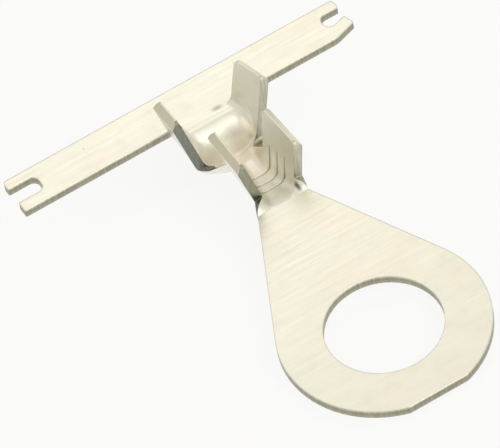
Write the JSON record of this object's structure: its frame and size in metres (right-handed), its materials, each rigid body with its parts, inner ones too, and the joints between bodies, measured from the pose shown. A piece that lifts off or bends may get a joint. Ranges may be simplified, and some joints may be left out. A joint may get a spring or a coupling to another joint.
{
  "type": "ring terminal",
  "caption": "Uninsulated ring terminal for a crimped wire: ring tongue, open wire barrel and open insulation barrel, still on its piece of carrier strip.",
  "frame": {"origin": "centre of the stud hole on the underside of the tongue", "axes": "+X from the ring along the barrels to the carrier strip, +Z to the side that the barrels' wings open to, +Y to the carrier's longer end"},
  "size_m": [0.026, 0.0207, 0.0058],
  "materials": {
    "tinned_brass": "satin tin plating"
  },
  "bodies": {
    "root": {"ring_terminal": "tinned_brass"}
  },
  "joints": []
}
